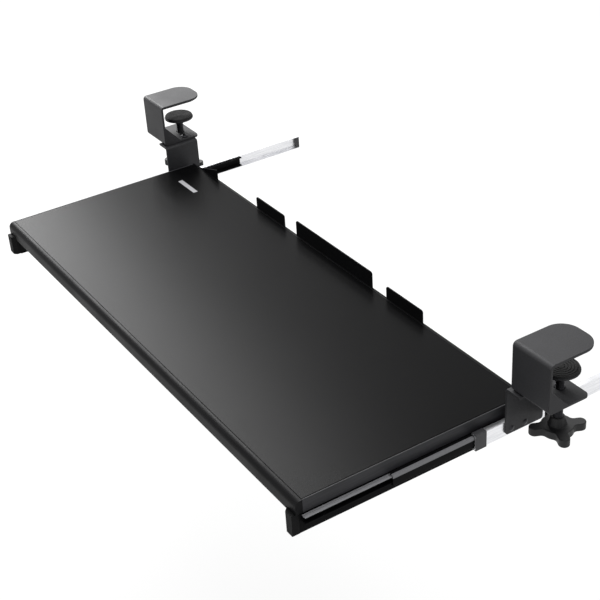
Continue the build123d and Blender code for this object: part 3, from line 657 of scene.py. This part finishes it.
knobLook = {
    "bottom": -21, "top": -12, "coreRadius": 17, "lobes": 4, "tip": (23.5, 0), "tipRadius": 6,
    "waist": (19.05, 11), "waistRadius": 5, "tipSteps": 14, "bendSteps": 6, "edgeRound": 1.2, "edgeSteps": 3,
    "edgeDegrees": 50, "wall": 2.2, "hollow": 5, "downward": -0.9, "turns": {"left": 40, "right": 64},
}
hubLook = {
    "sink": 2, "foot": 1.5, "footTop": 1.2, "neck": 0.3, "neckRise": 0.4, "radius": 9, "radiusRise": 1.3,
    "topRadius": 7, "top": -2, "crown": 0.2, "crownDrop": 0.7, "crownInset": 0.5, "socketRadius": 5.3,
    "socketDepth": 3, "steps": 48,
}
bossLook = {"sink": 1, "roofRadius": 8.5, "radius": 8, "edge": 0.6, "footRadius": 7.6, "foot": 0.2,
            "steps": 48}
fluteLook = {"count": 14, "radius": 0.9, "sink": 0.35, "endShare": 0.6, "endDrop": 1.6, "tipDrop": 1,
             "steps": 10}


def starOutline(look):
    # One lobe's half-round tip, the hollow waist on both sides and the core between the lobes
    step = 360 / look["lobes"]
    waistX, waistY = look["waist"]
    lean = math.degrees(math.atan2(waistY, waistX))
    lobe = arc((waistX, -waistY), look["waistRadius"], 180 - lean, 90, look["bendSteps"])
    lobe += arc(look["tip"], look["tipRadius"], -90, 90, look["tipSteps"])
    lobe += arc((waistX, waistY), look["waistRadius"], -90, lean - 180, look["bendSteps"])
    lobe += arc((0, 0), look["coreRadius"], lean, step - lean, look["bendSteps"])[1:-1]
    outline = []
    for k in range(look["lobes"]):
        turn = Matrix.Rotation(math.radians(step * k), 2)
        outline += [tuple(turn @ Vector(point)) for point in lobe]
    return outline


def makeStar(node, look):
    # The star, pressed hollow from below
    star = prism(node + "_star", starOutline(look), look["bottom"], look["top"])
    shell = bmesh.new()
    shell.from_mesh(star)
    under = [face for face in shell.faces if face.normal.z < look["downward"]]
    bmesh.ops.inset_region(shell, faces=under, thickness=look["wall"] * mm)
    pressed = bmesh.ops.extrude_face_region(shell, geom=under)["geom"]
    bmesh.ops.translate(shell, vec=(0, 0, look["hollow"] * mm),
                        verts=[part for part in pressed if isinstance(part, bmesh.types.BMVert)])
    bmesh.ops.delete(shell, geom=under, context="FACES")
    shell.to_mesh(star)
    shell.free()
    return star


def makeHub(node, low, look):
    radius, topRadius, top, socket = look["radius"], look["topRadius"], look["top"], look["socketRadius"]
    return lathe(node + "_hub", [
        (0, low - look["sink"]), (radius + look["foot"], low - look["sink"]), (radius + look["footTop"], low),
        (radius + look["neck"], low + look["neckRise"]), (radius, low + look["radiusRise"]),
        (topRadius + look["crown"], top - look["crownDrop"]), (topRadius - look["crownInset"], top),
        (socket, top), (socket, top - look["socketDepth"]), (0, top - look["socketDepth"])], look["steps"])


def makeBoss(node, bottom, roof, look):
    roof, foot = roof + look["sink"], bottom + look["foot"]
    return lathe(node + "_boss", [
        (0, roof), (look["roofRadius"], roof), (look["radius"], bottom + look["edge"]),
        (look["footRadius"], foot), (0, foot)], look["steps"])


def makeFlutes(node, low, look):
    top = hubLook["top"]
    flute = addPiece(node + "_flute", lathe(node + "_flute", [
        (0, low), (look["radius"], low), (look["radius"] * look["endShare"], top - look["endDrop"]),
        (0, top - look["tipDrop"])], look["steps"]))
    lean = (hubLook["topRadius"] - hubLook["radius"]) / (top - low)
    for corner in flute.data.vertices:  # along the hub's taper
        corner.co.x += lean * (corner.co.z - low * mm)
    flutes = grow(node + "_flutes", fluteTree, [(0, 0, 0)],
                  {"Flutes": look["count"], "Ring Radius": (hubLook["radius"] - look["sink"]) * mm,
                   "Shape": flute, "Finish": finishFor(node)})
    bpy.data.objects.remove(flute)
    return flutes


def makeKnob(node, side, turn, look):
    flutes = makeFlutes(node, look["top"], fluteLook)
    star = addPiece(node + "_star", makeStar(node, look))
    hub = addPiece(node + "_hub", makeHub(node, look["top"], hubLook))
    boss = addPiece(node + "_boss", makeBoss(node, look["bottom"], look["bottom"] + look["hollow"], bossLook))
    place = Matrix.Translation(Vector((side * clampX, clampY, 0)) * mm)
    place = place @ Matrix.Rotation(math.radians(turn), 4, "Z")
    for part in (star, hub, boss, flutes):
        part.data.transform(place)
        shadeByAngle(part.data)
        standFor(part, node)
    edge = star.modifiers.new("round", "BEVEL")
    edge.width, edge.segments, edge.limit_method = look["edgeRound"] * mm, look["edgeSteps"], "ANGLE"
    edge.angle_limit, edge.harden_normals = math.radians(look["edgeDegrees"]), True


for name, side in sides.items():
    makeKnob(name + "_knob", side, knobLook["turns"][name], knobLook)
print("knobs:", knobLook["lobes"], "lobes")


# Pressure pads: a turned plate with its boss, and a rubber face with ring grooves
padLook = {
    "bossBottom": 47.5, "plateBottom": 53.5, "plateTop": 56, "cushionTop": 58, "plateRadius": 20,
    "bossRadius": 8, "bossChamfer": 0.4, "bossFillet": 1.5, "filletSteps": 5, "edgeRound": 0.8,
    "edgeSteps": 4, "bore": 3.08, "boreTop": 52.7, "boreChamfer": 0.3, "cushionRadius": 19,
    "cushionChamfer": 0.5, "grooves": 5, "grooveDepth": 0.6, "grooveHalf": 0.55, "grooveFloorHalf": 0.25,
    "grooveShiftShare": 0.3, "steps": 72,
}


def makePad(name, side, look):
    rim, fillet, boss, bore = look["edgeRound"], look["bossFillet"], look["bossRadius"], look["bore"]
    radius, low, high, foot = look["plateRadius"], look["plateBottom"], look["plateTop"], look["bossBottom"]
    profile = [(0, look["boreTop"]), (bore, look["boreTop"]), (bore, foot + look["boreChamfer"]),
               (bore + look["boreChamfer"], foot), (boss - look["bossChamfer"], foot),
               (boss, foot + look["bossChamfer"])]
    profile += arc((boss + fillet, low - fillet), fillet, 180, 90, look["filletSteps"])
    profile += arc((radius - rim, low + rim), rim, -90, 0, look["edgeSteps"])
    profile += arc((radius - rim, high - rim), rim, 0, 90, look["edgeSteps"])
    plate = lathe(name + "_pressure_plate_turned", profile + [(0, high)], look["steps"])
    place = (side * clampX, clampY, 0)
    shadeByAngle(plate)
    standFor(addPiece(plate.name, moved(plate, place)), name + "_pressure_plate")
    top, wide, floor = look["cushionTop"], look["cushionRadius"], look["cushionTop"] - look["grooveDepth"]
    step, chamfer = wide / (look["grooves"] + 1), look["cushionChamfer"]
    profile = [(0, high), (wide, high), (wide, top - chamfer), (wide - chamfer, top)]
    for k in range(look["grooves"], 0, -1):
        middle = step * (k + look["grooveShiftShare"])
        profile += [(middle + look["grooveHalf"], top), (middle + look["grooveFloorHalf"], floor),
                    (middle - look["grooveFloorHalf"], floor), (middle - look["grooveHalf"], top)]
    cushion = lathe(name + "_pad_cushion_ringed", profile + [(0, top)], look["steps"])
    shadeByAngle(cushion)
    standFor(addPiece(cushion.name, moved(cushion, place)), name + "_pad_cushion")


for name, side in sides.items():
    makePad(name, side, padLook)
print("pads:", padLook["grooves"], "grooves each")


# Weld beads along the gussets and round the nuts: short overlapping ripples of one bead
weldLook = {
    "beadRadius": 0.9, "rippleStep": 0.8, "innerX": 365.5, "outerX": 420, "gusset": 2.5, "strapY": 109.5,
    "armZ": 33, "gussetY": 130, "gussetZ": 56, "cornerGap": 1, "armGap": 0.4, "nutZ": 30, "nutCorner": 9.8,
    "ringSteps": 36, "swell": (0.85, 1.12), "seed": 23,
}
weldTree, given = makeTree("weld_beads",
                           {"Bead Radius": "Float", "Ripple Step": "Float", "Chance Seed": "Int"})
seam = addNode(weldTree, "GeometryNodeMeshToCurve", None, {"Mesh": given["Geometry"]})
ripples = addNode(weldTree, "GeometryNodeResampleCurve", {"mode": "LENGTH"},
                  {"Curve": seam.outputs[0], "Length": given["Ripple Step"]})
drop = addNode(weldTree, "GeometryNodeMeshUVSphere", {"Segments": 8, "Rings": 6},
               {"Radius": given["Bead Radius"]})
softDrop = addNode(weldTree, "GeometryNodeSetShadeSmooth", None, {"Geometry": drop.outputs[0]})
swell = addNode(weldTree, "FunctionNodeRandomValue",
                {"data_type": "FLOAT", 2: weldLook["swell"][0], 3: weldLook["swell"][1]},
                {8: given["Chance Seed"]})
beads = addNode(weldTree, "GeometryNodeInstanceOnPoints", None,
                {"Points": ripples.outputs[0], "Instance": softDrop.outputs[0], "Scale": swell.outputs[1]})
endTree(weldTree, beads.outputs[0], given)


def makeWelds(name, side, look):
    places, edges = [], []

    def addSeam(points):
        edges.extend((len(places) + i, len(places) + i + 1) for i in range(len(points) - 1))
        places.extend(points)

    strapY, armZ, gap = look["strapY"], look["armZ"], look["cornerGap"]
    for face in (look["innerX"] + look["gusset"], look["outerX"] - look["gusset"]):
        x = side * face
        addSeam([(x, strapY, look["gussetZ"] - gap), (x, strapY, armZ + look["armGap"])])
        addSeam([(x, strapY + gap, armZ), (x, look["gussetY"] - gap, armZ)])
    nutRing = arc((side * clampX, clampY), look["nutCorner"] * math.sqrt(3) / 2, 0, 360, look["ringSteps"])
    addSeam([(x, y, look["nutZ"]) for x, y in nutRing])
    node = name + "_clamp_frame"
    piece = grow(node + "_welds", weldTree, places,
                 {"Bead Radius": look["beadRadius"] * mm, "Ripple Step": look["rippleStep"] * mm,
                  "Chance Seed": look["seed"] + side, "Finish": finishFor(node)}, edges=edges)
    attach(piece, bodyOf[node])


for name, side in sides.items():
    makeWelds(name, side, weldLook)
print("welds:", len(sides), "frames")


# Camera and light

cameraSet = {"azimuth": 59.227, "elevation": 31.604, "roll": -3.920, "distance": 1518.99,
             "target": (51.38, 58.79, 0), "lens": 78.70, "sensor": 36, "near": 50, "far": 50000}


def aimCamera(look):
    azimuth, elevation, roll = (math.radians(look[key]) for key in ("azimuth", "elevation", "roll"))
    back = Vector((math.sin(azimuth) * math.cos(elevation), -math.cos(azimuth) * math.cos(elevation),
                   math.sin(elevation)))
    right = Vector((math.cos(azimuth), math.sin(azimuth), 0))
    up = back.cross(right)
    turnedRight = math.cos(roll) * right + math.sin(roll) * up
    turnedUp = -math.sin(roll) * right + math.cos(roll) * up
    camera = bpy.data.objects.new("camera", bpy.data.cameras.new("camera"))
    camera.data.lens = look["lens"]
    camera.data.sensor_width = look["sensor"]
    camera.data.clip_start, camera.data.clip_end = look["near"] * mm, look["far"] * mm
    turn = Matrix((turnedRight, turnedUp, back)).transposed().to_4x4()
    place = Vector(look["target"]) * mm + back * look["distance"] * mm
    camera.matrix_world = Matrix.Translation(place) @ turn
    scene.collection.objects.link(camera)
    scene.camera = camera


aimCamera(cameraSet)

floorSet = {"height": -420, "size": 14000, "colour": "#f4f4f2", "shown": "#ffffff", "shownShare": 0.85}


def shownRay(tree):
    # One where the ray comes from the camera, a mirror-like surface or clear material
    path = addNode(tree, "ShaderNodeLightPath")
    either = addNode(tree, "ShaderNodeMath", {"operation": "MAXIMUM"},
                     {0: path.outputs["Is Camera Ray"], 1: path.outputs["Is Transmission Ray"]})
    every = addNode(tree, "ShaderNodeMath", {"operation": "MAXIMUM"},
                    {0: either.outputs[0], 1: path.outputs["Is Glossy Ray"]})
    return every.outputs[0]


def layFloor(look):
    half, height = look["size"] * mm / 2, look["height"] * mm
    mesh = bpy.data.meshes.new("floor")
    corners = [(x * half, y * half, height) for x, y in ((-1, -1), (1, -1), (1, 1), (-1, 1))]
    mesh.from_pydata(corners, [], [(0, 1, 2, 3)])
    floor = bpy.data.objects.new("floor", mesh)
    scene.collection.objects.link(floor)
    material, tree = newMaterial("floor_paper_matt")
    paper = addNode(tree, "ShaderNodeBsdfDiffuse", {"Color": linearColour(look["colour"])})
    white = addNode(tree, "ShaderNodeEmission", {"Color": linearColour(look["shown"]), "Strength": 1.0})
    share = addNode(tree, "ShaderNodeMath", {"operation": "MULTIPLY", 1: look["shownShare"]},
                    {0: shownRay(tree)})
    shown = addNode(tree, "ShaderNodeMixShader", None,
                    {0: share.outputs[0], 1: paper.outputs[0], 2: white.outputs[0]})
    clear = addNode(tree, "ShaderNodeBsdfTransparent")
    facing = addNode(tree, "ShaderNodeNewGeometry")
    mixed = addNode(tree, "ShaderNodeMixShader", None,
                    {0: facing.outputs["Backfacing"], 1: shown.outputs[0], 2: clear.outputs[0]})
    addNode(tree, "ShaderNodeOutputMaterial", None, {"Surface": mixed.outputs[0]})
    mesh.materials.append(material)


layFloor(floorSet)

worldSet = {"shown": "#ffffff", "light": "#f6f7fa", "strength": 0.6}


def lightWorld(look):
    world = bpy.data.worlds.new("studio")
    scene.world = world
    world.use_nodes = True
    tree = world.node_tree
    tree.nodes.clear()
    seen = shownRay(tree)
    shown = addNode(tree, "ShaderNodeBackground", {"Color": linearColour(look["shown"]), "Strength": 1.0})
    lighting = addNode(tree, "ShaderNodeBackground",
                       {"Color": linearColour(look["light"]), "Strength": look["strength"]})
    mixed = addNode(tree, "ShaderNodeMixShader", None,
                    {0: seen, 1: lighting.outputs[0], 2: shown.outputs[0]})
    addNode(tree, "ShaderNodeOutputWorld", None, {"Surface": mixed.outputs[0]})


lightWorld(worldSet)

lampSet = {
    "key": {"place": (-2010, 400, 1500), "aim": (0, 0, 0), "size": (900, 2200), "roll": 28, "watts": 92},
    "top": {"place": (200, -300, 2200), "aim": (0, 0, 0), "size": (2000, 2000), "roll": 0, "watts": 22},
}


def hangLamp(name, look):
    lamp = bpy.data.objects.new(name, bpy.data.lights.new(name, "AREA"))
    lamp.data.shape = "RECTANGLE"
    lamp.data.size, lamp.data.size_y = (side * mm for side in look["size"])
    lamp.data.energy = look["watts"]
    place, aim = Vector(look["place"]) * mm, Vector(look["aim"]) * mm
    lamp.location = place
    turn = (aim - place).to_track_quat("-Z", "Y") @ Quaternion((0, 0, 1), math.radians(look["roll"]))
    lamp.rotation_euler = turn.to_euler()
    scene.collection.objects.link(lamp)


for name, look in lampSet.items():
    hangLamp(name, look)
scene.view_settings.view_transform = "Standard"
print("stage:", len(lampSet), "lamps")
